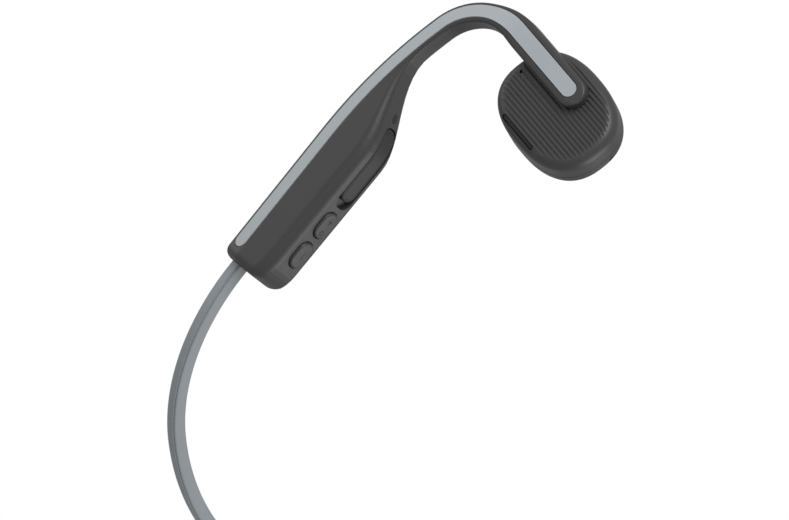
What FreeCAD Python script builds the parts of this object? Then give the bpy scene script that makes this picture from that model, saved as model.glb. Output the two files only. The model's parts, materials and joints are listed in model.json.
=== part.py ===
"""Bone conduction headphones: a flexible neckband with a pod, an ear hook and a transducer on each side.

One side is built in its own frame: x forward along the pod from its rear end, y towards the
wearer's head, z up towards the accent strip. The right side is set onto the end of the neckband,
and the left side is its mirror image. In the finished frame +X is forward, +Y is the wearer's
left, +Z is up, and the headphones rest on both transducers and on the back of the neckband.
"""
import FreeCAD, Part
import os
from math import atan2, cos, radians, sin, sqrt, tan

V = FreeCAD.Vector

# ---------------------------------------------------------------- driving dimensions, mm and degrees
STAND_TILT = 21.8              # the pods point this far above the table at rest
TOE_IN = 3.0                   # the pods close in towards the front
POD_TWIST = 9.0                # the tops of the pods lean outward

BAND_WIDTH = 3.9               # across, in the plane of the band
BAND_HEIGHT = 3.2
BAND_CORNER = 0.95
BAND_REAR_RADIUS = 77.25
BAND_BEND_RADIUS = 48.0
BAND_BEND_TURN = 40.0
BAND_SIDE_RADIUS = 53.0
BAND_SIDE_TURN = 15.0
BAND_LEAD_OUT = 1.0            # straight run between the last bend and the pod
BAND_INSERT = 6.0              # length held inside the pod
BAND_WIRE_RADIUS = 0.6
BAND_WIRE_SHIFT = 0.85         # wire and leads lie side by side in the sleeve
BAND_LEADS_RADIUS = 0.5
WIRE_GAP = 0.05                # clearance round a wire in its channel

POD_OUTER = 6.0                # outer face, measured outward from the side's x axis
POD_INNER = -6.5
POD_TOP = 7.2
POD_BOTTOM = -7.0
POD_BOTTOM_SLOPE = 0.016       # the pod grows this much deeper per mm forward
POD_END_ROUND = 2.4
POD_HEEL = 6.0                 # the underside curves up over this length at the rear
POD_HEEL_LIFT = 1.8
POD_TO_HOOK = 28.5             # length over which the pod narrows into the hook
POD_REACH = (3.0, -1.95)       # the strip's facet, above and below the strip's centre
POD_RADII = (0.9, 2.6, 2.2, 3.0, 2.2)  # from the top outer corner, over the top and round
POD_WALL = 1.1
POD_STRIP_WALL = 2.3           # thicker under the accent strip's groove
POD_CAVITY = (1.4, 47.0)       # x range of the hollow
LID_SPLIT = 4.5                # the inner cover starts this far inboard
LID_FRONT = 44.0
BAND_SEAT = (1.0, 3.0)         # where the band enters the pod: outward, up

HOOK_TILT = 5.8                # the plane of the hook leans inward going down
STRIP_SEAT = (5.3, 4.4)        # centre of the accent strip on the pod: outward, up
POD_FACET = 27.1               # slope of the strip's facet on the pod and the arch
HOOK_STRAIGHT = 38.0
HOOK_RISE_RADIUS = 123.5
HOOK_RISE_TURN = 16.8
HOOK_ARCH_RADIUS = 14.5
HOOK_ARCH_TURN = 83.8
HOOK_REACH = (2.85, -1.98)
HOOK_TOP = 2.75                # the hook's section, up from its centreline
HOOK_BOTTOM = -3.1
HOOK_OUTER = 0.75              # and outward from its plane
HOOK_INNER = -5.9
HOOK_KEEL = 0.2                # the outer corner lies this far above the hook's underside
HOOK_RADII = (0.8, 1.9, 1.9, 0.75, 0.5)
HOOK_TO_ARM = 12.0             # length over which the hook widens into the arm
ARM_SHAPED = 3.0               # the arm's section is even from here on
ARM_END = 21.5                 # centre of the arm's round end, along the arm
ARM_HALF = 3.75
ARM_EDGE = 0.8
ARM_FACET = 2.0                # slope of the strip's facet on the arm
ARM_REACH = (3.55, -2.47)
ARM_OUTER = -0.25
ARM_INNER = -5.6
ARM_RADII = (ARM_EDGE, 1.6, 1.6, ARM_EDGE, 2.0)

STRIP_WIDTH = 3.9
STRIP_THICK = 1.0
STRIP_PROUD = 0.05
STRIP_GAP = 0.2                # dark gap round the strip
STRIP_START = 5.25
STRIP_ARM_END = 20.85          # centre of the strip's round end, along the arm

CHANNEL_RADIUS = 1.3           # passage for the hook's wire and leads
CHANNEL_SEAT = (-0.2, -2.9)
HOOK_WIRE_RADIUS = 0.5
HOOK_LEADS_RADIUS = 0.45
HOOK_WIRE_SHIFT = 0.6
CHANNEL_START = 36.0
CHANNEL_ARM_END = 6.2          # along the arm, just short of the transducer
WIRE_ARM_END = 5.9
LEADS_TURN_AT = 6.1
LEADS_BEND = 2.2
LEADS_TAIL = 2.4
LEADS_TUNNEL = 0.6

DRIVER_TURN = 8.0              # the transducer's face turns forward about the arm
DRIVER_DROP = 2.5              # and lies this far under the arm's outer face
DRIVER_CENTRE = (-5.2, -0.32)
DRIVER_HALF = (12.25, 15.75)
DRIVER_POWER = 2.4             # exponent of the transducer's rounded outline
DRIVER_ROUND = 3.0
DRIVER_SEAM = 6.5
DRIVER_WALL = 1.3
DRIVER_BASE = 9.8              # depth of the shell's head side
DRIVER_FLANGE = 0.9
DRIVER_HOLE = 3.4              # inset of the opening that the moving plate works in
PLATE_INSET = 3.8
PLATE_DEPTHS = (9.1, 10.1)
PAD_INSET = 1.6
PAD_DEPTH = 12.7
PAD_ROUND = 2.0

RIB_PITCH = 1.05
RIB_COUNT = 20
RIB_RADIUS = 0.5
RIB_DEPTH = 0.35
RIB_CENTRE = 0.6
VENT_SIZE = (1.2, 12.0)
VENT_SEAT = (-10.4, 1.2)
MIC_HOLE_RADIUS = 0.4
MIC_SEAT = (-0.75, 12.9)

YOKE_RADII = (7.4, 9.0)
YOKE_DEPTHS = (3.8, 4.8, 8.4)
MAGNET_RADIUS = 5.3
MAGNET_DEPTH = 7.2
TOP_PLATE_RADIUS = 5.4
TOP_PLATE_DEPTH = 8.3
COIL_RADII = (5.8, 6.9)
COIL_TOP = 6.0
SPRING_RADII = (7.3, 10.2)
SPRING_THICK = 0.2
POST_RING = 8.2
POST_RADIUS = 1.0

BUTTON_X = (10.95, 19.9)       # volume down, then volume up
BUTTON_SIZE = (7.1, 5.4)
BUTTON_Y = 1.0                 # inboard of the pod's middle
BUTTON_CORNER = 2.3
BUTTON_PROUD = 0.7
BUTTON_GAP = 0.2
BUTTON_TOP = -4.7

FLAP_X = (27.0, 47.2)
FLAP_WIDTH = 5.8
FLAP_NOTCH = 1.8               # finger notch behind the flap
FLAP_GAP = 0.2
FLAP_THICK = 1.35
FLAP_BOSS = 2.5                # depth of solid material under the flap's surface
PLUG_SIZE = (7.9, 2.2)         # the flap's plug, which fills the port's mouth
PLUG_TOP = -5.0

PORT_X = 34.0
PORT_SIZE = (8.94, 3.26, 7.35)  # USB-C receptacle: width, thickness, depth
PORT_MOUTH = (8.34, 2.56)
PORT_BOTTOM = -5.9

LED_AT = 50.5
LED_OUT = -4.6
LED_RADIUS = 1.0

BOARD_X = (4.5, 44.0)
BOARD_Y = (2.7, 3.5)
BOARD_Z = (-3.6, 4.6)

BATTERY_SIZE = (27.0, 7.0)     # along and across the left pod
BATTERY_CORNER = 1.6
BATTERY_Z = (-4.6, 3.6)
BATTERY_SEAT = (21.8, 0.4)
BATTERY_BOARD_X = (38.5, 43.5)

PUSH_SEAT = (-2.8, -1.0)       # multifunction button on the left transducer
PUSH_SIZE = (5.5, 11.0)
PUSH_PROUD = 0.6


# ---------------------------------------------------------------- plane routes of lines and arcs
def advance(x, y, heading, length, turn):
    """The point and heading after one leg that turns by `turn` degrees, to the left if positive."""
    chord = length
    if turn:
        radius = length / radians(abs(turn))
        chord = 2 * radius * sin(radians(abs(turn)) / 2)
    way = radians(heading + turn / 2)
    return x + chord * cos(way), y + chord * sin(way), heading + turn


def bend(radius, turn):
    """A leg along an arc."""
    return radius * radians(abs(turn)), turn


class Route:
    """Straight runs joined by tangent arcs, walked from a start point and heading."""

    def __init__(self, x, y, heading, legs):
        self.start = (x, y, heading)
        self.legs = legs
        self.length = sum(length for length, _ in legs)

    def at(self, distance):
        """Point and heading at a distance along the route."""
        here = self.start
        for length, turn in self.legs[:-1]:
            if distance <= length:
                return advance(*here, distance, turn * distance / length)
            here = advance(*here, length, turn)
            distance -= length
        length, turn = self.legs[-1]
        return advance(*here, distance, turn * distance / length)

    def beside(self, shift):
        """The parallel route, shifted to the left."""
        x, y, heading = self.start
        way = radians(heading + 90)
        legs = [(length - shift * radians(turn), turn) for length, turn in self.legs]
        return Route(x + shift * cos(way), y + shift * sin(way), heading, legs)

    def wire(self, lift):
        """The route as a wire, each point raised into space by lift(x, y)."""
        edges = []
        here = self.start
        for length, turn in self.legs:
            end = advance(*here, length, turn)
            if turn:
                middle = advance(*here, length / 2, turn / 2)
                curve = Part.Arc(lift(*here[:2]), lift(*middle[:2]), lift(*end[:2]))
            else:
                curve = Part.LineSegment(lift(*here[:2]), lift(*end[:2]))
            edges.append(curve.toShape())
            here = end
        return Part.Wire(edges)


# ---------------------------------------------------------------- outlines and solids
def rounded_wire(corners, radii, lift):
    """A closed outline with an arc at each corner, raised into space by lift(a, b)."""
    arcs = []
    neighbours = zip(corners[-1:] + corners[:-1], corners, corners[1:] + corners[:1])
    for (before, here, after), radius in zip(neighbours, radii):
        to_before = V(before[0] - here[0], before[1] - here[1], 0).normalize()
        to_after = V(after[0] - here[0], after[1] - here[1], 0).normalize()
        half = to_before.getAngle(to_after) / 2
        corner = V(here[0], here[1], 0)
        inward = (to_before + to_after).normalize()
        reach = radius / tan(half)
        middle = corner + inward * (radius / sin(half) - radius)
        arcs.append((corner + to_before * reach, middle, corner + to_after * reach))
    edges = []
    for (first, middle, last), (following, _, _) in zip(arcs, arcs[1:] + arcs[:1]):
        edges.append(Part.Arc(*[lift(p.x, p.y) for p in (first, middle, last)]).toShape())
        edges.append(Part.LineSegment(lift(last.x, last.y), lift(following.x, following.y)).toShape())
    return Part.Wire(edges)


def inset(corners, depths):
    """The same convex outline with each side moved inward by its own depth."""
    count = len(corners)
    area = sum(a[0] * b[1] - b[0] * a[1] for a, b in zip(corners, corners[1:] + corners[:1]))
    lines = []
    for k in range(count):
        here = corners[k]
        after = corners[(k + 1) % count]
        run = V(after[0] - here[0], after[1] - here[1], 0).normalize()
        inward = V(-run.y, run.x, 0) if area > 0 else V(run.y, -run.x, 0)
        lines.append((V(here[0], here[1], 0) + inward * depths[k], run))
    moved = []
    for k in range(count):
        (p, u), (q, v) = lines[k - 1], lines[k]
        along = ((q - p).cross(v)).z / (u.cross(v)).z
        moved.append(((p + u * along).x, (p + u * along).y))
    return moved


def blend(low, high, share):
    return low + (high - low) * share


def smooth(value):
    """0 below 0, 1 above 1 and an even S between."""
    value = min(max(value, 0.0), 1.0)
    return value * value * (3 - 2 * value)


# ---------------------------------------------------------------- the hook's plane and sections
HOOK_LEGS = [
    (HOOK_STRAIGHT, 0),
    bend(HOOK_RISE_RADIUS, -HOOK_RISE_TURN),
    bend(HOOK_ARCH_RADIUS, -HOOK_ARCH_TURN),
    (ARM_END, 0),
]
HOOK = Route(0, 0, 0, HOOK_LEGS)
ARCH_START = HOOK_LEGS[0][0] + HOOK_LEGS[1][0]
ARM_START = ARCH_START + HOOK_LEGS[2][0]


def in_hook(x, w, q):
    """Hook coordinates (along the pod, up, outward from the hook's plane) to the side's frame."""
    lean = radians(HOOK_TILT)
    outward = STRIP_SEAT[0] + w * sin(lean) + q * cos(lean)
    return V(x, -outward, STRIP_SEAT[1] + w * cos(lean) - q * sin(lean))


def section_lift(distance):
    """Maps (up, outward) in the section at a distance along the hook to the side's frame."""
    x, w, heading = HOOK.at(distance)
    normal = radians(heading + 90)
    return lambda up, out: in_hook(x + up * cos(normal), w + up * sin(normal), out)


def pod_corner(outward, up):
    """A point of the pod's section, as (up, outward) from the strip's centre in the hook's plane."""
    lean = radians(HOOK_TILT)
    outward -= STRIP_SEAT[0]
    up -= STRIP_SEAT[1]
    return up * cos(lean) + outward * sin(lean), outward * cos(lean) - up * sin(lean)


def facet_corner(reach, slope):
    """A point on the facet that carries the strip, `reach` above its centre."""
    return reach * cos(radians(slope)), -reach * sin(radians(slope))


def casing_section(distance):
    """Corners and corner radii of the casing's section at a distance along the hook."""
    rear_lift = POD_HEEL_LIFT * max(0.0, 1 - distance / POD_HEEL) ** 2
    bottom = POD_BOTTOM - POD_BOTTOM_SLOPE * distance + rear_lift
    pod = [
        facet_corner(POD_REACH[0], POD_FACET),
        pod_corner(POD_INNER, POD_TOP),
        pod_corner(POD_INNER, bottom),
        pod_corner(POD_OUTER, bottom),
        facet_corner(POD_REACH[1], POD_FACET),
    ]
    hook = [
        facet_corner(HOOK_REACH[0], POD_FACET),
        (HOOK_TOP, HOOK_INNER),
        (HOOK_BOTTOM, HOOK_INNER),
        (HOOK_BOTTOM + HOOK_KEEL, HOOK_OUTER),
        facet_corner(HOOK_REACH[1], POD_FACET),
    ]
    arm = [
        facet_corner(ARM_REACH[0], ARM_FACET),
        (ARM_HALF, ARM_INNER),
        (-ARM_HALF, ARM_INNER),
        (-ARM_HALF, ARM_OUTER),
        facet_corner(ARM_REACH[1], ARM_FACET),
    ]
    to_hook = smooth((distance - HOOK_STRAIGHT) / POD_TO_HOOK)
    to_arm = smooth((distance - ARM_START - ARM_SHAPED + HOOK_TO_ARM) / HOOK_TO_ARM)
    corners = []
    radii = []
    for k in range(5):
        first = [blend(pod[k][i], hook[k][i], to_hook) for i in (0, 1)]
        corners.append(tuple(blend(first[i], arm[k][i], to_arm) for i in (0, 1)))
        radii.append(blend(blend(POD_RADII[k], HOOK_RADII[k], to_hook), ARM_RADII[k], to_arm))
    return corners, radii


def section_wire(distance, depths=None):
    """The casing's section as a wire, with its sides moved inward by `depths` where given."""
    corners, radii = casing_section(distance)
    if depths:
        corners = inset(corners, depths)
        radii = [max(radius - max(depths[k - 1], depths[k]), 0.35) for k, radius in enumerate(radii)]
    return rounded_wire(corners, radii, section_lift(distance))


# ---------------------------------------------------------------- simple solids
def pipe(route, lift, profile):
    """A solid swept along a route; profile is a closed outline at its start."""
    return route.wire(lift).makePipe(Part.Face(profile))


def round_pipe(route, lift, radius):
    """A round rod along a route."""
    x, y, heading = route.start
    way = radians(heading)
    start = lift(x, y)
    along = lift(x + cos(way), y + sin(way)) - start
    return pipe(route, lift, Part.Wire([Part.Circle(start, along, radius).toShape()]))


def box(x_range, y_range, z_range):
    """A box between the given limits."""
    low, high = zip(x_range, y_range, z_range)
    return Part.makeBox(high[0] - low[0], high[1] - low[1], high[2] - low[2], V(*low))


def slab(size, corner, z_range, centre=(0, 0)):
    """A prism along z with a rounded rectangular outline."""
    half_x, half_y = size[0] / 2, size[1] / 2
    corners = [(half_x, half_y), (-half_x, half_y), (-half_x, -half_y), (half_x, -half_y)]
    outline = rounded_wire(corners, [corner] * 4, lambda a, b: V(centre[0] + a, centre[1] + b, z_range[0]))
    return Part.Face(outline).extrude(V(0, 0, z_range[1] - z_range[0]))


def disc(radius, z_range, centre=(0, 0)):
    """A round prism along z."""
    return Part.makeCylinder(radius, z_range[1] - z_range[0], V(centre[0], centre[1], z_range[0]))


def ring(radii, z_range):
    """A flat or tall ring about z."""
    return disc(radii[1], z_range).cut(disc(radii[0], (z_range[0] - 1, z_range[1] + 1)))


def group(shapes):
    """Separate solids kept together in one node."""
    return Part.makeCompound(shapes)


def spread(low, high, count):
    """Evenly spaced values, without the first."""
    return [blend(low, high, (k + 1) / count) for k in range(count)]


# ---------------------------------------------------------------- pod, ear hook and arm
def arm_end_wire(past, half):
    """The arm's section inside its round end, `past` the end's centre, narrowed to a half width."""
    corners, radii = casing_section(HOOK.length)
    rim = max(ARM_EDGE - (ARM_HALF - past), 0.0)
    drop = ARM_EDGE - sqrt(ARM_EDGE ** 2 - rim ** 2)
    corners = [(up * half / ARM_HALF, out - drop if out > -2 else out) for up, out in corners]
    radii = [min(radius, 0.55 * half) for radius in radii]
    return rounded_wire(corners, radii, section_lift(HOOK.length + past))


def casing_outer():
    """The outer form of the pod, the ear hook and the arm, as one solid."""
    wires = []
    for angle in [radians(15 * k) for k in range(6)]:
        depth = POD_END_ROUND * (1 - sin(angle))
        wires.append(section_wire(POD_END_ROUND * (1 - cos(angle)), [depth] * 5))
    stations = [POD_END_ROUND] + spread(POD_END_ROUND, POD_HEEL, 3) + [HOOK_STRAIGHT]
    stations += spread(HOOK_STRAIGHT, ARCH_START, 16)
    stations += spread(ARCH_START, ARM_START, 17)
    stations += spread(ARM_START, ARM_START + ARM_SHAPED, 3)
    wires += [section_wire(distance) for distance in stations]
    for angle in [radians(10 * k) for k in range(9)]:
        wires.append(arm_end_wire(ARM_HALF * sin(angle), ARM_HALF * cos(angle)))
    return Part.makeLoft(wires, True, True)


def pod_cavity():
    """The hollow inside the pod."""
    depths = [POD_WALL] * 4 + [POD_STRIP_WALL]
    stations = [POD_CAVITY[0]] + spread(POD_CAVITY[0], POD_HEEL, 3) + [HOOK_STRAIGHT]
    stations += spread(HOOK_STRAIGHT, POD_CAVITY[1], 4)
    return Part.makeLoft([section_wire(distance, depths) for distance in stations], True, True)


def strip_solid(width, top, bottom):
    """A strip of even width along the facet, with round ends."""
    last = ARM_START + STRIP_ARM_END
    stations = [STRIP_START] + spread(STRIP_START, HOOK_STRAIGHT, 2) + spread(HOOK_STRAIGHT, ARCH_START, 8)
    stations += spread(ARCH_START, ARM_START, 17) + spread(ARM_START, last, 4)
    wires = []
    tips = []
    for distance in stations:
        corners, _ = casing_section(distance)
        slope = atan2(corners[4][1] - corners[0][1], corners[0][0] - corners[4][0])
        lift = section_lift(distance)
        outline = []
        for across, height in ((-0.5, bottom), (0.5, bottom), (0.5, top), (-0.5, top)):
            reach = across * width
            up = reach * cos(slope) + height * sin(slope)
            outline.append(lift(up, height * cos(slope) - reach * sin(slope)))
        wires.append(Part.makePolygon(outline + outline[:1]))
        if distance in (STRIP_START, last):
            foot = lift(bottom * sin(slope), bottom * cos(slope))
            head = lift(top * sin(slope), top * cos(slope))
            tips.append(Part.makeCylinder(width / 2, (head - foot).Length, foot, head - foot))
    return Part.makeLoft(wires, True, True).fuse(tips)


def hook_route(start, last):
    """The hook's line from an x on the pod's straight part to a distance along the arm."""
    legs = [(HOOK_STRAIGHT - start, 0)] + HOOK_LEGS[1:3] + [(last, 0)]
    return Route(start, 0, 0, legs)


def channel_route(shift, last):
    """A line in the hook's passage, beside its centre, from the pod to a distance along the arm."""
    return hook_route(CHANNEL_START, last).beside(CHANNEL_SEAT[0] + shift)


def in_channel(x, w):
    """Raises a passage route to the passage's depth."""
    return in_hook(x, w, CHANNEL_SEAT[1])


def leads_drop(radius):
    """The leads' last turn, from the arm inward into the transducer."""
    route = channel_route(-HOOK_WIRE_SHIFT, LEADS_TURN_AT)
    x, w, heading = route.at(route.length)
    way = radians(heading)

    def lift(along, inward):
        return in_hook(x + along * cos(way), w + along * sin(way), CHANNEL_SEAT[1] - inward)

    return round_pipe(Route(-0.2, 0, 0, [(0.2, 0), bend(LEADS_BEND, 90), (LEADS_TAIL, 0)]), lift, radius)


def casing_parts(is_right, outer, cavity, transducer):
    """The casing, its inner cover and the accent strip of one side."""
    strip = strip_solid(STRIP_WIDTH, STRIP_PROUD, -STRIP_THICK)
    groove = strip_solid(STRIP_WIDTH + 2 * STRIP_GAP, 2.0, -STRIP_THICK)
    channel = round_pipe(channel_route(0, CHANNEL_ARM_END), in_channel, CHANNEL_RADIUS)
    lid_region = box((-1, LID_FRONT), (LID_SPLIT, 12), (-20, 20))
    seat_hole = in_seat(slab((BAND_WIDTH + 0.1, BAND_HEIGHT + 0.1), BAND_CORNER, (-3, 3)), along_band=True)
    lid = outer.common(lid_region).cut(cavity)
    shell = outer.cut(lid_region).cut(cavity)
    if is_right:
        shell = shell.fuse(flap_boss(outer).cut(lid_region))
        for tool in underside_cuts(outer):
            shell = shell.cut(tool)
    for tool in (channel, groove, seat_hole, transducer, leads_drop(LEADS_TUNNEL)):
        shell = shell.cut(tool)
    return shell, lid, strip


def in_seat(shape, along_band=False):
    """Sets a shape into the pod where the band enters: x along the pod, y and z as in the band."""
    if along_band:
        shape = shape.rotated(V(), V(0, 1, 0), 90).rotated(V(), V(1, 0, 0), 90)
    turn = FreeCAD.Rotation(V(1, 0, 0), -POD_TWIST)
    placed = shape.copy()
    placed.Placement = FreeCAD.Placement(V(0, -BAND_SEAT[0], BAND_SEAT[1]), turn) * placed.Placement
    return placed


def band_socket(cavity):
    """The block inside the pod that grips the end of the band."""
    block = box((POD_CAVITY[0] + 0.05, BAND_INSERT - 0.2), (-2.7, 2.5), (-2.4, 2.3))
    hole = slab((BAND_WIDTH + 0.06, BAND_HEIGHT + 0.06), BAND_CORNER, (-10, 10))
    hole = hole.rotated(V(), V(0, 1, 0), 90).rotated(V(), V(1, 0, 0), 90)
    return in_seat(block.cut(hole)).common(cavity)


# ---------------------------------------------------------------- controls and port, right side only
def along_pod(size, corner, z_range, x):
    """A rounded prism through the pod's underside."""
    return slab(size, corner, z_range, (x, BUTTON_Y))


def under_skin(shape, outer, depth):
    """The part of a shape that lies within a depth of the pod's underside."""
    return shape.cut(outer.translated(V(0, 0, depth)))


def flap_outline(grow, notch=0.0):
    """The port cover's outline as a prism, grown by a gap and lengthened rearward by a notch."""
    length = FLAP_X[1] - FLAP_X[0] + 2 * grow + notch
    middle = (FLAP_X[0] + FLAP_X[1] - notch) / 2
    return along_pod((length, FLAP_WIDTH + 2 * grow), FLAP_WIDTH / 2 - 0.4, (-10, 0), middle)


def flap_boss(outer):
    """Extra material inside the underside, round the port cover's recess."""
    return under_skin(outer.common(flap_outline(1.0, FLAP_NOTCH)), outer, FLAP_BOSS)


def underside_cuts(outer):
    """Everything cut through the right pod's underside."""
    cuts = []
    for x in BUTTON_X:
        size = [side + 2 * BUTTON_GAP for side in BUTTON_SIZE]
        cuts.append(along_pod(size, BUTTON_CORNER + BUTTON_GAP, (-9, -4.9), x))
    cuts.append(under_skin(flap_outline(FLAP_GAP, FLAP_NOTCH), outer, FLAP_THICK))
    cuts.append(along_pod((PORT_SIZE[0] + 0.1, PORT_SIZE[1] + 0.1), 1.2, (-7, -4), PORT_X))
    cuts.append(led_rod(LED_RADIUS + 0.05))
    return cuts


def led_rod(radius):
    """A rod out through the underside at the status light."""
    lift = section_lift(LED_AT)
    inner, outer = lift(-6.0, LED_OUT), lift(-13.0, LED_OUT)
    return Part.makeCylinder(radius, (outer - inner).Length, inner, outer - inner)


def button(x, outer):
    """One volume button: a crowned cap that follows the underside, with a flange inside."""
    shell = outer.translated(V(0, 0, -BUTTON_PROUD))
    cap = along_pod(BUTTON_SIZE, BUTTON_CORNER, (-9, BUTTON_TOP - 0.6), x).common(shell)
    flange = along_pod((BUTTON_SIZE[0] + 1.3, BUTTON_SIZE[1] - 1.2), 1.0, (BUTTON_TOP - 0.6, BUTTON_TOP), x)
    return cap.fuse(flange)


def port_cover(outer):
    """The rubber flap over the charging port, with the plug that fills the port's mouth."""
    flap = under_skin(flap_outline(0).common(outer), outer, FLAP_THICK - 0.05)
    plug = along_pod(PLUG_SIZE, PLUG_SIZE[1] / 2 - 0.05, (PORT_BOTTOM - 0.6, PLUG_TOP), PORT_X)
    return flap.fuse(plug)


def usb_port():
    """A USB-C receptacle: a drawn shell with a tongue inside."""
    z_range = (PORT_BOTTOM, PORT_BOTTOM + PORT_SIZE[2])
    shell = along_pod(PORT_SIZE[:2], 1.1, z_range, PORT_X)
    mouth = along_pod(PORT_MOUTH, 1.0, (z_range[0] - 1, z_range[1] - 0.9), PORT_X)
    tongue = along_pod((6.2, 0.7), 0.2, (z_range[0] + 1.6, z_range[1] - 0.8), PORT_X)
    return shell.cut(mouth).fuse(tongue)


def right_electronics(outer):
    """The controls, the port and the circuit board of the right pod."""
    board = box(BOARD_X, BOARD_Y, BOARD_Z)
    screws = []
    for x in (7.0, 41.5):
        hole = Part.makeCylinder(0.7, 4, V(x, BOARD_Y[0] - 1, 3.2), V(0, 1, 0))
        board = board.cut(hole)
        shank = Part.makeCylinder(0.65, 1.6, V(x, BOARD_Y[0] - 0.4, 3.2), V(0, 1, 0))
        screws.append(shank.fuse(Part.makeCylinder(1.2, 0.4, V(x, BOARD_Y[1], 3.2), V(0, 1, 0))))
    switches = []
    for x in BUTTON_X:
        can = box((x - 2.2, x + 2.2), (BOARD_Y[0] - 2.9, BOARD_Y[0]), (-3.4, -1.6))
        plunger = Part.makeCylinder(0.7, 0.35, V(x, BUTTON_Y, -3.75))
        switches.append(can.fuse(plunger))
    chips = []
    for x, z, side in ((13.0, 2.0, 5.0), (21.5, 2.2, 4.0), (27.5, 1.0, 2.4)):
        half = side / 2
        chips.append(box((x - half, x + half), (BOARD_Y[0] - 0.9, BOARD_Y[0]), (z - half, z + half)))
    antenna = box((12.0, 36.0), (0.5, 3.5), (5.1, 5.4))
    x_low, x_high = BUTTON_X[0] - 4.6, BUTTON_X[1] + 4.6
    seal = slab((x_high - x_low, BUTTON_SIZE[1] - 0.8), 1.0, (-4.25, -3.85), ((x_low + x_high) / 2, BUTTON_Y))
    return {
        "circuit_board": board,
        "board_screws": group(screws),
        "button_switches": group(switches),
        "board_chips": group(chips),
        "antenna": antenna,
        "button_seal": seal,
        "usb_c_port": usb_port(),
        "port_cover": port_cover(outer),
        "status_led": led_rod(LED_RADIUS).common(outer),
        "volume_down_button": button(BUTTON_X[0], outer),
        "volume_up_button": button(BUTTON_X[1], outer),
    }


def left_electronics():
    """The battery and its protection board in the left pod."""
    return {
        "battery": slab(BATTERY_SIZE, BATTERY_CORNER, BATTERY_Z, BATTERY_SEAT),
        "battery_board": box(BATTERY_BOARD_X, (-2.4, 2.8), (-3.0, -2.2)),
    }


# ---------------------------------------------------------------- transducer, in its own frame
def driver_outline(inward, depth):
    """The transducer's rounded outline, moved inward, at a depth under its outer face."""
    half_x, half_y = (side - inward for side in DRIVER_HALF)
    points = []
    for k in range(36):
        angle = radians(10 * k)
        across = abs(cos(angle)) ** (2 / DRIVER_POWER) * (1 if cos(angle) > 0 else -1)
        up = abs(sin(angle)) ** (2 / DRIVER_POWER) * (1 if sin(angle) > 0 else -1)
        points.append(V(half_x * across, half_y * up, -depth))
    curve = Part.BSplineCurve()
    curve.interpolate(points, PeriodicFlag=True)
    return Part.Wire([curve.toShape()])


def driver_prism(inward, depths):
    """A prism with the transducer's outline between two depths."""
    return Part.Face(driver_outline(inward, depths[0])).extrude(V(0, 0, depths[0] - depths[1]))


def rim(solid, z):
    """The edges of a solid that lie in one plane of constant z."""
    return [edge for edge in solid.Edges if max(abs(edge.BoundBox.ZMin - z), abs(edge.BoundBox.ZMax - z)) < 0.01]


def driver_blank():
    """The outer form of the transducer's outer shell, without its ribs."""
    blank = driver_prism(0, (0, DRIVER_SEAM))
    return blank.makeFillet(DRIVER_ROUND, rim(blank, 0))


def posts():
    """Posts under the outer shell that hold the yoke."""
    rods = []
    for k in range(3):
        angle = radians(60 + 120 * k)
        centre = (POST_RING * cos(angle), POST_RING * sin(angle))
        rods.append(disc(POST_RADIUS, (-YOKE_DEPTHS[0], -DRIVER_WALL + 0.2), centre))
    return rods


def outer_shell(is_right):
    """The ribbed outer shell of the transducer."""
    shell = driver_blank()
    hollow = driver_prism(DRIVER_WALL, (DRIVER_WALL, DRIVER_SEAM + 1))
    shell = shell.cut(hollow.makeFillet(DRIVER_ROUND - DRIVER_WALL, rim(hollow, -DRIVER_WALL)))
    for post in posts():
        shell = shell.fuse(post)
    first = RIB_CENTRE - RIB_PITCH * (RIB_COUNT - 1) / 2
    for k in range(RIB_COUNT):
        x = first + RIB_PITCH * k
        shell = shell.cut(Part.makeCylinder(RIB_RADIUS, 40, V(x, -20, RIB_RADIUS - RIB_DEPTH), V(0, 1, 0)))
    shell = shell.cut(slab(VENT_SIZE, VENT_SIZE[0] / 2 - 0.02, (-5, 1), VENT_SEAT))
    if is_right:
        shell = shell.cut(disc(MIC_HOLE_RADIUS, (-4, 1), MIC_SEAT))
    else:
        size = [side + 2 * BUTTON_GAP for side in PUSH_SIZE]
        shell = shell.cut(slab(size, size[0] / 2 - 0.05, (-1.6, 1), PUSH_SEAT))
    return shell


def base_shell():
    """The head side of the transducer's shell, with the flange that the leaf spring rests on."""
    shell = driver_prism(0, (DRIVER_SEAM, DRIVER_BASE))
    shell = shell.makeFillet(1.6, rim(shell, -DRIVER_BASE))
    shell = shell.cut(driver_prism(DRIVER_WALL, (DRIVER_SEAM - 1, DRIVER_BASE - DRIVER_FLANGE)))
    shell = shell.cut(driver_prism(DRIVER_HOLE, (DRIVER_SEAM, DRIVER_BASE + 1)))
    return shell.cut(box((2.2, 3.6), (-20, -10), (-8.2, -7.7)))


def contact_pad():
    """The soft pad that rests on the cheekbone."""
    pad = driver_prism(PAD_INSET, (PLATE_DEPTHS[1], PAD_DEPTH))
    return pad.makeFillet(PAD_ROUND, rim(pad, -PAD_DEPTH))


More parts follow.
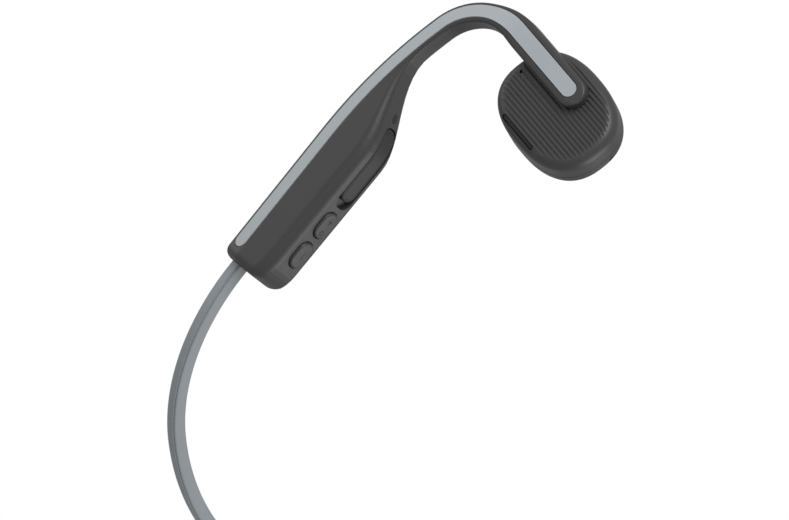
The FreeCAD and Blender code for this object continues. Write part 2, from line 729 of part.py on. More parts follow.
def transducer_parts(is_right):
    """Every piece of one transducer, in the transducer's frame."""
    yoke = disc(YOKE_RADII[1], (-YOKE_DEPTHS[2], -YOKE_DEPTHS[0]))
    yoke = yoke.cut(disc(YOKE_RADII[0], (-YOKE_DEPTHS[2] - 1, -YOKE_DEPTHS[1])))
    plate = driver_prism(PLATE_INSET, PLATE_DEPTHS)
    lip = (-PLATE_DEPTHS[0], 0.2 - PLATE_DEPTHS[0])
    plate = plate.fuse(ring((SPRING_RADII[0], SPRING_RADII[0] + 0.7), lip))
    spring_top = SPRING_THICK - DRIVER_BASE + DRIVER_FLANGE
    parts = {
        "transducer_shell": outer_shell(is_right),
        "transducer_base": base_shell(),
        "contact_pad": contact_pad(),
        "driver_plate": plate,
        "magnet_yoke": yoke,
        "magnet": disc(MAGNET_RADIUS, (-MAGNET_DEPTH, -YOKE_DEPTHS[1])),
        "top_plate": disc(TOP_PLATE_RADIUS, (-TOP_PLATE_DEPTH, -MAGNET_DEPTH)),
        "voice_coil": ring(COIL_RADII, (-PLATE_DEPTHS[0], -COIL_TOP)),
        "leaf_spring": ring(SPRING_RADII, (DRIVER_FLANGE - DRIVER_BASE, spring_top)),
        "vent_mesh": slab((1.1, VENT_SIZE[1] - 0.1), 0.5, (-2.0, -1.8), VENT_SEAT),
    }
    if is_right:
        parts["microphone"] = slab((3.5, 2.65), 0.3, (-2.8, -1.8), (MIC_SEAT[0], MIC_SEAT[1] - 1.7))
    else:
        cap = slab(PUSH_SIZE, PUSH_SIZE[0] / 2 - 0.1, (-1.6, PUSH_PROUD), PUSH_SEAT)
        cap = cap.makeFillet(0.5, rim(cap, PUSH_PROUD))
        flange = slab([side + 1.0 for side in PUSH_SIZE], 2.8, (-2.1, -1.6), PUSH_SEAT)
        parts["multifunction_button"] = cap.fuse(flange)
        parts["multifunction_switch"] = slab((4.0, 3.0), 0.3, (-YOKE_DEPTHS[0], -2.5), PUSH_SEAT)
    return parts


def driver_placement():
    """Where the transducer's frame sits in the side's frame."""
    x, w, heading = HOOK.at(ARM_START + STRIP_ARM_END)
    origin = in_hook(x, w, -DRIVER_DROP)
    way = radians(heading)
    turn = radians(DRIVER_TURN)
    down_arm = in_hook(x + cos(way), w + sin(way), -DRIVER_DROP) - origin
    outward = in_hook(x, w, 1 - DRIVER_DROP) - origin
    front = outward.cross(down_arm)
    across = front * cos(turn) - outward * sin(turn)
    normal = outward * cos(turn) + front * sin(turn)
    rotation = FreeCAD.Rotation(across, -down_arm, normal, "ZXY")
    shift = across * DRIVER_CENTRE[0] - down_arm * DRIVER_CENTRE[1]
    return FreeCAD.Placement(origin + shift, rotation)


# ---------------------------------------------------------------- neckband, in the band's frame
BAND_REAR_TURN = 90 + TOE_IN - BAND_BEND_TURN - BAND_SIDE_TURN
BAND_SIDE_LEGS = [
    bend(BAND_REAR_RADIUS, BAND_REAR_TURN),
    bend(BAND_BEND_RADIUS, BAND_BEND_TURN),
    bend(BAND_SIDE_RADIUS, BAND_SIDE_TURN),
    (BAND_LEAD_OUT, 0),
]
HALF_BAND = Route(0, 0, -90, BAND_SIDE_LEGS)
BAND_EXIT = HALF_BAND.at(HALF_BAND.length)


def band_route():
    """The whole band, from inside the right pod to inside the left pod."""
    x, y, heading = BAND_EXIT
    way = radians(heading)
    back = [(BAND_LEAD_OUT + BAND_INSERT, 0)] + [(length, -turn) for length, turn in BAND_SIDE_LEGS[2:0:-1]]
    middle = [bend(BAND_REAR_RADIUS, -2 * BAND_REAR_TURN)]
    start = (x + BAND_INSERT * cos(way), y + BAND_INSERT * sin(way), heading + 180)
    return Route(*start, back + middle + back[::-1])


def band_parts():
    """The soft sleeve, the memory wire in it and the leads between the two pods."""
    def flat(x, y):
        return V(x, y, 0)

    route = band_route()
    x, y, heading = route.start
    way = radians(heading + 90)
    half_x, half_y = BAND_WIDTH / 2, BAND_HEIGHT / 2
    corners = [(half_x, half_y), (-half_x, half_y), (-half_x, -half_y), (half_x, -half_y)]
    outline = rounded_wire(corners, [BAND_CORNER] * 4, lambda a, b: V(x + a * cos(way), y + a * sin(way), b))
    sleeve = pipe(route, flat, outline)
    wire = route.beside(BAND_WIRE_SHIFT)
    leads = route.beside(-BAND_WIRE_SHIFT)
    sleeve = sleeve.cut(round_pipe(wire, flat, BAND_WIRE_RADIUS + WIRE_GAP))
    sleeve = sleeve.cut(round_pipe(leads, flat, BAND_LEADS_RADIUS + WIRE_GAP))
    return {
        "band_sleeve": sleeve,
        "band_wire": round_pipe(wire, flat, BAND_WIRE_RADIUS),
        "band_leads": round_pipe(leads, flat, BAND_LEADS_RADIUS),
    }


# ---------------------------------------------------------------- assembly
ONE_SIDE_ONLY = ("microphone", "multifunction_button", "multifunction_switch")


def moved(shape, placement):
    """A copy of a shape, placed."""
    placed = shape.copy()
    placed.Placement = placement * placed.Placement
    return placed


def side_placement():
    """Sets the right side's frame onto the end of the band."""
    x, y, _ = BAND_EXIT
    turn = FreeCAD.Rotation(V(0, 0, 1), TOE_IN) * FreeCAD.Rotation(V(1, 0, 0), POD_TWIST)
    to_seat = FreeCAD.Placement(V(0, BAND_SEAT[0], -BAND_SEAT[1]), FreeCAD.Rotation())
    return FreeCAD.Placement(V(x, y, 0), turn) * to_seat


def side_parts(is_right, outer):
    """Every piece of one side, in the side's frame; outer is the casing's outer form."""
    driver = driver_placement()
    pieces = {name: moved(shape, driver) for name, shape in transducer_parts(is_right).items()}
    pieces["transducer_shell"] = pieces["transducer_shell"].cut(leads_drop(LEADS_TUNNEL))
    cavity = pod_cavity()
    casing, lid, strip = casing_parts(is_right, outer, cavity, moved(driver_blank(), driver))
    drop = leads_drop(HOOK_LEADS_RADIUS)
    leads = round_pipe(channel_route(-HOOK_WIRE_SHIFT, LEADS_TURN_AT - 0.1), in_channel, HOOK_LEADS_RADIUS)
    pieces.update({
        "casing": casing,
        "inner_cover": lid,
        "accent_strip": strip,
        "hook_wire": round_pipe(channel_route(HOOK_WIRE_SHIFT, WIRE_ARM_END), in_channel, HOOK_WIRE_RADIUS),
        "hook_leads": leads.fuse(drop),
        "band_socket": band_socket(cavity),
    })
    side = "right_" if is_right else "left_"
    pieces = {name if name in ONE_SIDE_ONLY else side + name: shape for name, shape in pieces.items()}
    pieces.update(right_electronics(outer) if is_right else left_electronics())
    return pieces


def all_parts():
    """Every node in the finished frame, and that frame's placement from the band's."""
    place = side_placement()
    outer = casing_outer()
    nodes = band_parts()
    for is_right in (True, False):
        for name, shape in side_parts(is_right, outer).items():
            shape = moved(shape, place)
            nodes[name] = shape if is_right else shape.mirror(V(), V(0, 1, 0))
    tilt = FreeCAD.Placement(V(), FreeCAD.Rotation(V(0, 1, 0), -STAND_TILT))
    nodes = {name: moved(shape, tilt) for name, shape in nodes.items()}
    points = [point for shape in nodes.values() for point in shape.tessellate(0.1)[0]]
    x_values = [point.x for point in points]
    to_base = V(-(min(x_values) + max(x_values)) / 2, 0, -min(point.z for point in points))
    to_base = FreeCAD.Placement(to_base, FreeCAD.Rotation())
    return {name: moved(shape, to_base) for name, shape in nodes.items()}, to_base * tilt


def main():
    os.makedirs("parts", exist_ok=True)
    nodes, row = all_parts()
    for name, shape in nodes.items():
        for solid in shape.Solids:
            if not solid.isValid() or solid.Volume <= 0:
                print("not a good solid:", name)
        if not shape.Solids:
            print("no solid:", name)
        shape.exportStep("parts/" + name + ".step")
    print(len(nodes), "nodes, band hinge at", row.Base, "along", row.Rotation.multVec(V(0, 0, 1)))


if __name__ == "__main__":
    main()
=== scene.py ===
"""Looks of the bone conduction headphones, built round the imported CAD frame.

Lengths are millimetres unless a comment says otherwise. A side's own frame has x forward along
the pod, y towards the wearer's head and z up towards the accent strip. The matrices SIDE, BAND
and DRIVER turn the right side's, the band's and the right transducer's millimetres into the
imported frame's metres.
"""

import json
from math import ceil, copysign, cos, radians, sin, sqrt

import bmesh
import bpy
from mathutils import Matrix, Vector
from mathutils.bvhtree import BVHTree


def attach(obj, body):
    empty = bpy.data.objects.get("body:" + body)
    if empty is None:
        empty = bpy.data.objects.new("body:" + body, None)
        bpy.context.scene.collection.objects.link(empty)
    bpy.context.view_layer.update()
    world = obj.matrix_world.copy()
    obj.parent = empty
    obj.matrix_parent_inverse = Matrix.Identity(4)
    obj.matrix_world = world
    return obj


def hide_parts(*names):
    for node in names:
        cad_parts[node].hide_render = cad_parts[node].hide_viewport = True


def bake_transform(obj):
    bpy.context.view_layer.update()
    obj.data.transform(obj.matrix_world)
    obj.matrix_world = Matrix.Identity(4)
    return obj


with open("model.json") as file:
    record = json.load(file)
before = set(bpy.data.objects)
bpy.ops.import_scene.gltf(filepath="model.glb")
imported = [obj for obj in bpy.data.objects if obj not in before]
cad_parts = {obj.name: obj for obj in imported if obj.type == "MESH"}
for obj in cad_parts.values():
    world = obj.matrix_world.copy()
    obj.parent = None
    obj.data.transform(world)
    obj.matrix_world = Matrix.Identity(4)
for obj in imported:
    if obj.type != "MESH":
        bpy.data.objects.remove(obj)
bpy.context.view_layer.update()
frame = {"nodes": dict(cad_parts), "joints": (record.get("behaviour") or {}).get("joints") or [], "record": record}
record = frame["record"]
MM = 0.001


# ---------------------------------------------------------------- the object's own frames
def joint(name):
    return next(j for j in frame["joints"] if j["name"] == name)


def joint_place(name):
    """A joint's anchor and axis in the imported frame."""
    found = joint(name)
    return Vector(found.get("pos_m") or (0, 0, 0)), Vector(found["axis"]).normalized()


def frame_matrix(origin, x_axis, y_axis, z_axis):
    """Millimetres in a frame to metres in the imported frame."""
    turn = Matrix((x_axis, y_axis, z_axis)).transposed()
    return Matrix.Translation(origin) @ turn.to_4x4() @ Matrix.Scale(MM, 4)


FLAP_HINGE = (47.2, 1.0, -5.46)   # the port cover's hinge in the side's own frame
up = joint_place("volume_up_press")[1]
hinge_pos, hinge_axis = joint_place("port_cover_open")
inboard = -hinge_axis
forward = inboard.cross(up).normalized()
SIDE = frame_matrix((0, 0, 0), forward, inboard, up)
SIDE = Matrix.Translation(hinge_pos - SIDE @ Vector(FLAP_HINGE)) @ SIDE
band_pos, band_up = joint_place("band_flex")
band_left = Vector((0, 1, 0))
BAND = frame_matrix(band_pos, band_left.cross(band_up).normalized(), band_left, band_up)

HOOK_TILT = 5.8                # degrees that the hook's plane leans in towards the head
ARM_HEADING = -100.6           # degrees, the arm's direction in the hook's plane
PAD_DEPTH = 12.7               # from the shell's ribbed face to the pad's contact face
lean = radians(HOOK_TILT)
run, climb = cos(radians(ARM_HEADING)), sin(radians(ARM_HEADING))
down_arm = Vector((run, -climb * sin(lean), climb * cos(lean)))
down_arm = (forward * down_arm.x + inboard * down_arm.y + up * down_arm.z).normalized()
driver_out = joint_place("right_driver_vibration")[1]
contact = next(m for m in record["mounts"] if m["name"] == "right_contact_face")
driver_origin = Vector(contact["pos_m"]) + driver_out * PAD_DEPTH * MM
driver_up = -(down_arm - driver_out * down_arm.dot(driver_out)).normalized()
DRIVER = frame_matrix(driver_origin, driver_up.cross(driver_out), driver_up, driver_out)
MIRROR = Matrix.Diagonal((1, -1, 1, 1))

# ---------------------------------------------------------------- camera
VIEW_DOWN = 33.0               # degrees below the pod's outer face that the camera looks from
VIEW_ROLL = 51.3               # degrees that the pod is turned up the frame
FRAME_WIDTH = 185.4            # mm of the object across the frame
POD_REAR_IN_FRAME = (-36.35, -1.36)   # mm right of and above the frame's centre
BAND_SEAT = (1.0, 3.0)         # mm outboard and up, from the side's origin to the band's end
SHOWN_DEPTH = 39.5             # mm behind the band's end at the pod
LENS = 300.0
SENSOR = 36.0
CLIP_START = 0.01              # metres


def set_camera():
    """Makes the camera and gives its right, up and backward directions and the point it aims at."""
    toward = -(inboard * cos(radians(VIEW_DOWN)) + up * sin(radians(VIEW_DOWN)))
    flat = (forward - toward * forward.dot(toward)).normalized()
    right = Matrix.Rotation(-radians(VIEW_ROLL), 3, toward) @ flat
    above = toward.cross(right)
    seat = SIDE @ Vector((0, -BAND_SEAT[0], BAND_SEAT[1]))
    aim = seat - right * (POD_REAR_IN_FRAME[0] * MM) - above * (POD_REAR_IN_FRAME[1] * MM)
    data = bpy.data.cameras.new("camera")
    data.lens = LENS
    data.sensor_width = SENSOR
    camera = bpy.data.objects.new("camera", data)
    bpy.context.scene.collection.objects.link(camera)
    distance = FRAME_WIDTH * MM * LENS / SENSOR
    turn = Matrix((right, above, toward)).transposed().to_4x4()
    camera.matrix_world = Matrix.Translation(aim + toward * distance) @ turn
    data.clip_start = CLIP_START
    # This view is of the right side alone, so it ends in front of the left side, which stands
    # behind it and would show.
    data.clip_end = (aim + toward * distance - seat).dot(toward) + SHOWN_DEPTH * MM
    bpy.context.scene.camera = camera
    return right, above, toward, aim


view_right, view_up, view_toward, view_aim = set_camera()


# ---------------------------------------------------------------- materials
def linear(code):
    """A linear colour from a six-digit sRGB code."""
    parts = [int(code[k:k + 2], 16) / 255 for k in (0, 2, 4)]
    return tuple(p / 12.92 if p < 0.04045 else ((p + 0.055) / 1.055) ** 2.4 for p in parts)


BROAD_SCALE = 90.0
NOISE_MIDDLE = (0.3, 0.7)
GLOSS_SPAN = 0.05


def remap(nodes, links, source, low=0.0, high=1.0):
    """Spreads a noise texture's middle values over a range."""
    spread = nodes.new("ShaderNodeMapRange")
    links.new(source.outputs["Fac"], spread.inputs["Value"])
    spread.inputs["From Min"].default_value, spread.inputs["From Max"].default_value = NOISE_MIDDLE
    spread.inputs["To Min"].default_value = low
    spread.inputs["To Max"].default_value = high
    return spread.outputs["Result"]


def material(name, code, rough, grain=0.0003, height=0.00001, metal=0.0, vary=0.05):
    """A moulded or drawn surface with fine grain, slight colour drift and uneven gloss."""
    made = bpy.data.materials.new(name)
    made.use_nodes = True
    nodes, links = made.node_tree.nodes, made.node_tree.links
    shader = nodes["Principled BSDF"]
    shader.inputs["Metallic"].default_value = metal
    where = nodes.new("ShaderNodeTexCoord")
    fine = nodes.new("ShaderNodeTexNoise")
    fine.inputs["Scale"].default_value = 1 / grain
    fine.inputs["Detail"].default_value = 3.0
    broad = nodes.new("ShaderNodeTexNoise")
    broad.inputs["Scale"].default_value = BROAD_SCALE
    broad.inputs["Detail"].default_value = 4.0
    links.new(where.outputs["Object"], fine.inputs["Vector"])
    links.new(where.outputs["Object"], broad.inputs["Vector"])
    mix = nodes.new("ShaderNodeMix")
    mix.data_type = "RGBA"
    links.new(remap(nodes, links, broad), mix.inputs["Factor"])
    for socket, share in (("A", 1 - vary), ("B", 1 + vary)):
        mix.inputs[socket].default_value = tuple(min(c * share, 1) for c in linear(code)) + (1,)
    links.new(mix.outputs["Result"], shader.inputs["Base Color"])
    gloss = remap(nodes, links, fine, rough - GLOSS_SPAN, rough + GLOSS_SPAN)
    links.new(gloss, shader.inputs["Roughness"])
    bump = nodes.new("ShaderNodeBump")
    bump.inputs["Strength"].default_value = 1.0
    bump.inputs["Distance"].default_value = height
    links.new(fine.outputs["Fac"], bump.inputs["Height"])
    links.new(bump.outputs["Normal"], shader.inputs["Normal"])
    return made


CASING = material("satin_casing", "3a3a3b", 0.42, grain=0.00012, height=0.000006, vary=0.03)
STRIP = material("accent_strip", "a4aaae", 0.38, grain=0.0001, height=0.000004, vary=0.02)
SLEEVE = material("band_silicone", "8c9397", 0.5, grain=0.0002, height=0.000006, vary=0.03)
PAD = material("pad_silicone", "2c2c2e", 0.6, grain=0.0002, height=0.00001, vary=0.05)
SHELL = material("transducer_shell", "3c3c3d", 0.4, grain=0.00012, height=0.000006, vary=0.03)
RUBBER = material("port_rubber", "262627", 0.5, grain=0.0002, height=0.000008, vary=0.05)
METAL = material("bare_steel", "b0b0b0", 0.3, grain=0.0002, height=0.000003, metal=1.0, vary=0.04)
COPPER = material("copper", "c77b4a", 0.35, grain=0.0002, height=0.000003, metal=1.0, vary=0.06)
BOARD = material("circuit_board", "1e5a3a", 0.45, grain=0.0003, height=0.000004, vary=0.1)
CHIP = material("chip_black", "1b1b1c", 0.5, grain=0.0002, height=0.000004)
CELL = material("cell_wrap", "6f7f8f", 0.4, grain=0.0004, height=0.000006, vary=0.06)
LED = material("led_window", "151517", 0.12, grain=0.0003, height=0.000002)
MESH = material("mesh_black", "19191a", 0.45, grain=0.0002, height=0.00001)
GLYPH = material("glyph_dark", "121213", 0.5, grain=0.0001, height=0.000003)
SEAM = material("seam_shadow", "0c0c0d", 0.7, grain=0.0001, height=0.000003)

BY_NAME = {
    "band_sleeve": SLEEVE, "band_wire": METAL, "band_leads": COPPER, "transducer_shell": SHELL,
    "transducer_base": SHELL, "contact_pad": PAD, "driver_plate": CHIP, "magnet_yoke": METAL,
    "magnet": METAL, "top_plate": METAL, "voice_coil": COPPER, "leaf_spring": METAL,
    "vent_mesh": MESH, "casing": CASING, "inner_cover": CASING, "accent_strip": STRIP,
    "hook_wire": METAL, "hook_leads": COPPER, "band_socket": CHIP, "microphone": METAL,
    "multifunction_button": CASING, "multifunction_switch": METAL, "circuit_board": BOARD,
    "board_screws": METAL, "button_switches": METAL, "board_chips": CHIP, "antenna": COPPER,
    "button_seal": PAD, "usb_c_port": METAL, "port_cover": RUBBER, "status_led": LED,
    "volume_down_button": CASING, "volume_up_button": CASING, "battery": CELL,
    "battery_board": BOARD,
}
for name, node in frame["nodes"].items():
    bare = name.removeprefix("right_").removeprefix("left_")
    node.data.materials.clear()
    node.data.materials.append(BY_NAME[bare])


# ---------------------------------------------------------------- mesh building
def add_piece(name, parts, finish, slot, body=None, sharp=32.0):
    """One object from (points, faces) parts, with its faces turned outward and shaded smooth."""
    points, faces = [], []
    for some, theirs in parts:
        base = len(points)
        points += some
        faces += [tuple(base + k for k in face) for face in theirs]
    mesh = bpy.data.meshes.new(name)
    mesh.from_pydata([tuple(p) for p in points], [], faces)
    made = bmesh.new()
    made.from_mesh(mesh)
    bmesh.ops.recalc_face_normals(made, faces=made.faces)
    made.to_mesh(mesh)
    made.free()
    mesh.shade_smooth()
    mesh.set_sharp_from_angle(angle=radians(sharp))
    mesh.materials.append(finish)
    obj = bpy.data.objects.new(name, mesh)
    bpy.context.scene.collection.objects.link(obj)
    if body:
        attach(obj, body)
    return obj


def skin(rings, joined=False):
    """Points and faces over rings of equal count, with capped ends unless the rings are joined."""
    count = len(rings[0])
    total = len(rings)
    faces = []
    for a in range(total if joined else total - 1):
        b = (a + 1) % total
        for k in range(count):
            j = (k + 1) % count
            faces.append((a * count + k, a * count + j, b * count + j, b * count + k))
    if not joined:
        faces.append(tuple(range(count)))
        faces += bridge((total - 1) * count, count)
    return [p for ring in rings for p in ring], faces


def bridge(base, count):
    """Fills a ring across its long axis, pairing points on its two sides."""
    faces = []
    for k in range(count // 2 - 1):
        faces.append((base + k, base + k + 1, base + count - 2 - k, base + count - 1 - k))
    return faces


def rounded_outline(half_x, half_y, corner, inset, step=8):
    """A rounded rectangle moved inward, with points along its long sides."""
    half_x, half_y = half_x - inset, half_y - inset
    corner = max(corner - inset, 0.02)
    quarter = []
    for k in range(step + 1):
        angle = radians(90 * k / step)
        across, along = corner * cos(angle), corner * sin(angle)
        quarter.append((half_x - corner + across, half_y - corner + along))
    side = [((half_x - corner) * (1 - k / step), half_y) for k in range(1, step)]
    upper = quarter + side
    upper += [(-x, y) for x, y in reversed(quarter + side)]
    return upper + [(x, -y) for x, y in reversed(upper)]


def placed(place, outline, height):
    """An outline's points at the heights that height(x, y) gives."""
    return [place @ Vector((x, y, height(x, y))) for x, y in outline]


def cap(outline, profile, height, foot, place, outward=1.0):
    """A cap over an outline, crowned at height(x, y); profile lists (inset, drop) inward."""
    rings = [placed(place, outline(profile[0][0]), lambda x, y: foot)]
    for inset, drop in profile:
        rings.append(placed(place, outline(inset), lambda x, y: height(x, y) - outward * drop))
    return skin(rings)


def beside(centre, outline):
    """An outline moved to a centre."""
    return lambda inset: [(centre[0] + x, centre[1] + y) for x, y in outline(inset)]


# ---------------------------------------------------------------- neckband
BAND_WIDTH = 3.9
BAND_HEIGHT = 3.2
BAND_CORNER = 0.95
BAND_INSERT = 6.0              # the band's length inside each pod
BAND_LEAD_OUT = 1.0            # its straight stretch just outside the pod
BAND_ARCS = ((77.25, 38.0), (48.0, 40.0), (53.0, 15.0))   # radius and turn, from the rear forward
BAND_STATION = 1.2
WIRE_RADIUS = 0.6
LEADS_RADIUS = 0.5
WIRE_SHIFT = 0.85              # the wire lies outside the band's middle, and the leads inside
BEND_HALF = 42.0               # the two points worked out below lie this far either side of the band's rear centre
LINE_DEPTH = 0.22              # the parting line along the band's outer corners
LINE_SPAN = 14.0


def advance(x, y, heading, length, turn):
    """The point and heading after a leg that turns by `turn` degrees."""
    chord = length
    if turn:
        chord = 2 * length / radians(abs(turn)) * sin(radians(abs(turn)) / 2)
    way = radians(heading + turn / 2)
    return x + chord * cos(way), y + chord * sin(way), heading + turn


def band_line():
    """Points and headings from inside the right pod, round the neck, to inside the left pod."""
    legs = [(radius * radians(turn), turn) for radius, turn in BAND_ARCS]
    here = (0.0, 0.0, -90.0)
    for length, turn in legs:
        here = advance(*here, length, turn)
    here = advance(*here, BAND_LEAD_OUT + BAND_INSERT, 0)
    half = [(BAND_LEAD_OUT + BAND_INSERT, 0)] + [(length, -turn) for length, turn in reversed(legs)]
    line = [(here[0], here[1], here[2] + 180)]
    for length, turn in half + half[::-1]:
        start = line[-1]
        count = ceil(length / BAND_STATION)
        line += [advance(*start, length * k / count, turn * k / count) for k in range(1, count + 1)]
    return line


def along_band(section, shift):
    """A section carried along the band, with flat ends."""
    rings = []
    for x, y, heading in band_line():
        way = radians(heading + 90)
        rings.append([
            BAND @ Vector((x + (shift + a) * cos(way), y + (shift + a) * sin(way), b))
            for a, b in section
        ])
    points, faces = skin(rings)
    count = len(section)
    ends = [tuple(range(count)), tuple(range(len(points) - count, len(points)))]
    return points, faces[:(len(rings) - 1) * count] + ends


def sleeve_section():
    """The sleeve's outline, with a fine parting line along both outer corners."""
    outline = []
    for side, top, start in ((1, 1, 0), (-1, 1, 90), (-1, -1, 180), (1, -1, 270)):
        for k in range(17):
            angle = 90 * k / 16
            near = max(0.0, 1 - abs(angle - 45) / LINE_SPAN)
            reach = BAND_CORNER - (LINE_DEPTH * near if side > 0 else 0)
            way = radians(start + angle)
            middle_x = side * (BAND_WIDTH / 2 - BAND_CORNER)
            middle_y = top * (BAND_HEIGHT / 2 - BAND_CORNER)
            outline.append((middle_x + reach * cos(way), middle_y + reach * sin(way)))
    return outline


def round_section(radius):
    return [(radius * cos(radians(30 * k)), radius * sin(radians(30 * k))) for k in range(12)]


BEND_FROM, BEND_TO = (BAND @ Vector((0, end, 0)) for end in (-BEND_HALF, BEND_HALF))
for name, node, section, shift, finish, slot in (
    ("neckband_sleeve", "band_sleeve", sleeve_section(), 0.0, SLEEVE, "band"),
    ("neckband_wire", "band_wire", round_section(WIRE_RADIUS), WIRE_SHIFT, METAL, "spring_wire"),
    ("neckband_leads", "band_leads", round_section(LEADS_RADIUS), -WIRE_SHIFT, COPPER, "copper"),
):
    made = add_piece(name, [along_band(section, shift)], finish, slot)
    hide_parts(node)
    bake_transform(made)
    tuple(BEND_FROM)
    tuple(BEND_TO)

# ---------------------------------------------------------------- buttons and port cover
BUTTON_X = (10.95, 19.9)
BUTTON_HALF = (3.55, 2.7)
BUTTON_CORNER = 2.3
BUTTON_PROUD = 0.7
BUTTON_TOP = -4.75
CAP_ROUND = ((0, 0.5), (0.03, 0.33), (0.1, 0.2), (0.2, 0.1), (0.35, 0.03), (0.5, 0))
BUTTON_EDGE = CAP_ROUND + ((0.9, 0), (1.6, -0.03))
CONTROLS_Y = 1.0
SKIN_AT_REAR = -7.0            # the pod's underside at its rear, and its slope along the pod
SKIN_SLOPE = -0.016
GLYPH_PROUD = 0.05
GLYPH_SUNK = 0.2
GLYPH_EDGE = 0.03
SIGN_HALF = (1.0, 0.17)
PLUS_SHIFT = 1.3
RING_SHIFT = -1.9
RING_RADIUS = 0.62
RING_HALF = 0.13
FLAP_X = (27.0, 47.2)
FLAP_HALF = 2.9
FLAP_CORNER = 2.5
FLAP_THICK = 1.3
FLAP_DEFAULT = -7.5            # where the cover's skin is taken to be if nothing is found
PLUG_X = 34.0
PLUG_HALF = (3.95, 1.1)
PLUG_CORNER = 1.05
PLUG_EDGE = ((0, 0.3), (0.1, 0.1), (0.3, 0))
PLUG_FROM, PLUG_TO = -6.6, -5.0
RAY_FROM = -14.0               # below the whole pod
FLAP_INNER = -5.0              # anything found above this is the cover's inner side
FLAP_EDGE = (
    (0, 0.6), (0.04, 0.42), (0.12, 0.27), (0.25, 0.14), (0.42, 0.04), (0.6, 0.0), (0.72, 0.0),
    (0.8, 0.09), (0.88, 0.09), (0.96, 0.0), (1.2, -0.03), (1.7, -0.03),
)


def underside(node, middle):
    """Looks up from below at a node and gives the height of its skin, in the side's frame."""
    mesh = frame["nodes"][node].data
    side_back = SIDE.inverted()
    points = [side_back @ v.co for v in mesh.vertices]
    tree = BVHTree.FromPolygons(points, [tuple(p.vertices) for p in mesh.polygons])

    def height(x, y):
        for share in (0.995, 0.98, 0.95, 0.9, 0.8, 0.5):
            near = (middle[0] + (x - middle[0]) * share, middle[1] + (y - middle[1]) * share)
            found = tree.ray_cast(Vector((*near, RAY_FROM)), Vector((0, 0, 1)))[0]
            if found and found.z < FLAP_INNER:
                return found.z
        return FLAP_DEFAULT

    return height


def button_crown(x, y):
    return SKIN_AT_REAR + SKIN_SLOPE * x - BUTTON_PROUD


def glyph_bar(centre, half_x, half_y):
    """A raised bar with round ends."""
    corner = min(half_x, half_y) * 0.95
    outline = beside(centre, lambda inset: rounded_outline(half_x, half_y, corner, inset, 3))
    crown = button_crown(*centre) - GLYPH_PROUD
    edge = ((0, GLYPH_EDGE), (GLYPH_EDGE, 0))
    return cap(outline, edge, lambda x, y: crown, crown + GLYPH_SUNK, SIDE, -1.0)


def glyph_ring(centre, radius, half, count=32):
    """A raised ring."""
    crown = button_crown(*centre) - GLYPH_PROUD
    foot = crown + GLYPH_SUNK
    inner, outer = radius - half, radius + half
    rings = []
    for k in range(count):
        way = radians(360 * k / count)
        rings.append([
            SIDE @ Vector((centre[0] + reach * cos(way), centre[1] + reach * sin(way), z))
            for reach, z in ((inner, foot), (inner, crown), (outer, crown), (outer, foot))
        ])
    return skin(rings, joined=True)


for name, x in (("volume_down", BUTTON_X[0]), ("volume_up", BUTTON_X[1])):
    outline = beside(
        (x, CONTROLS_Y), lambda inset: rounded_outline(*BUTTON_HALF, BUTTON_CORNER, inset))
    top = cap(outline, BUTTON_EDGE, button_crown, BUTTON_TOP, SIDE, -1.0)
    made = add_piece(name + "_cap", [top], CASING, "button", name)
    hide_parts(name + "_button")
minus = [glyph_bar((BUTTON_X[0], CONTROLS_Y), *SIGN_HALF)]
plus = [
    glyph_ring((BUTTON_X[1] + RING_SHIFT, CONTROLS_Y), RING_RADIUS, RING_HALF),
    glyph_bar((BUTTON_X[1] + PLUS_SHIFT, CONTROLS_Y), *SIGN_HALF),
    glyph_bar((BUTTON_X[1] + PLUS_SHIFT, CONTROLS_Y), *reversed(SIGN_HALF)),
]
add_piece("minus_glyph", minus, GLYPH, "button", "volume_down")
add_piece("plus_glyph", plus, GLYPH, "button", "volume_up")

flap_middle = (sum(FLAP_X) / 2, CONTROLS_Y)
flap_half = ((FLAP_X[1] - FLAP_X[0]) / 2, FLAP_HALF)
flap_skin = underside("port_cover", flap_middle)
flap_outline = beside(
    flap_middle, lambda inset: rounded_outline(*flap_half, FLAP_CORNER, inset, 12))
flap_rings = [
    placed(SIDE, flap_outline(inset), lambda x, y: flap_skin(x, y) + drop)
    for inset, drop in ((0, FLAP_THICK), *FLAP_EDGE)
]
plug_outline = beside(
    (PLUG_X, CONTROLS_Y), lambda inset: rounded_outline(*PLUG_HALF, PLUG_CORNER, inset, 6))
plug = cap(plug_outline, PLUG_EDGE, lambda x, y: PLUG_TO, PLUG_FROM, SIDE)
made = add_piece("port_flap", [skin(flap_rings), plug], RUBBER, "casing", "port_cover")
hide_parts("port_cover")

# ---------------------------------------------------------------- transducers
DRIVER_HALF = (12.25, 15.75)
DRIVER_POWER = 2.4             # the outline is a superellipse of this power
DRIVER_ROUND = 3.0
DRIVER_SEAM = 6.5              # depth of the line between the shell's two halves
SEAM_HALF = 0.08
SEAM_PROUD = 0.015
SEAM_SUNK = 0.3
PAD_INSET = 1.6
PAD_PROFILE = (                # inset and depth, from the pad's foot to the middle of its face
    (0, 10.1), (0, 10.7), (0.06, 11.15), (0.25, 11.6), (0.6, 11.98), (1.1, 12.25), (1.8, 12.44),
    (2.8, 12.56), (4.2, 12.63), (5.8, 12.67), (7.6, 12.69), (9.2, PAD_DEPTH),
)
VENT_HALF = (0.57, 5.96)
VENT_SEAT = (-10.4, 1.2)
VENT_FLOOR = 0.45
VENT_FLOOR_PROFILE = ((0, 1.1), (0, VENT_FLOOR), (0.22, VENT_FLOOR), (0.27, 0.3), (0.4, 0.3))
VENT_RIM_PROFILE = ((-0.02, 0.3), (-0.02, -0.04), (-0.1, -0.07), (-0.2, -0.04), (-0.2, 0.3))
PUSH_SEAT = (-2.8, -1.0)
PUSH_HALF = (2.75, 5.5)
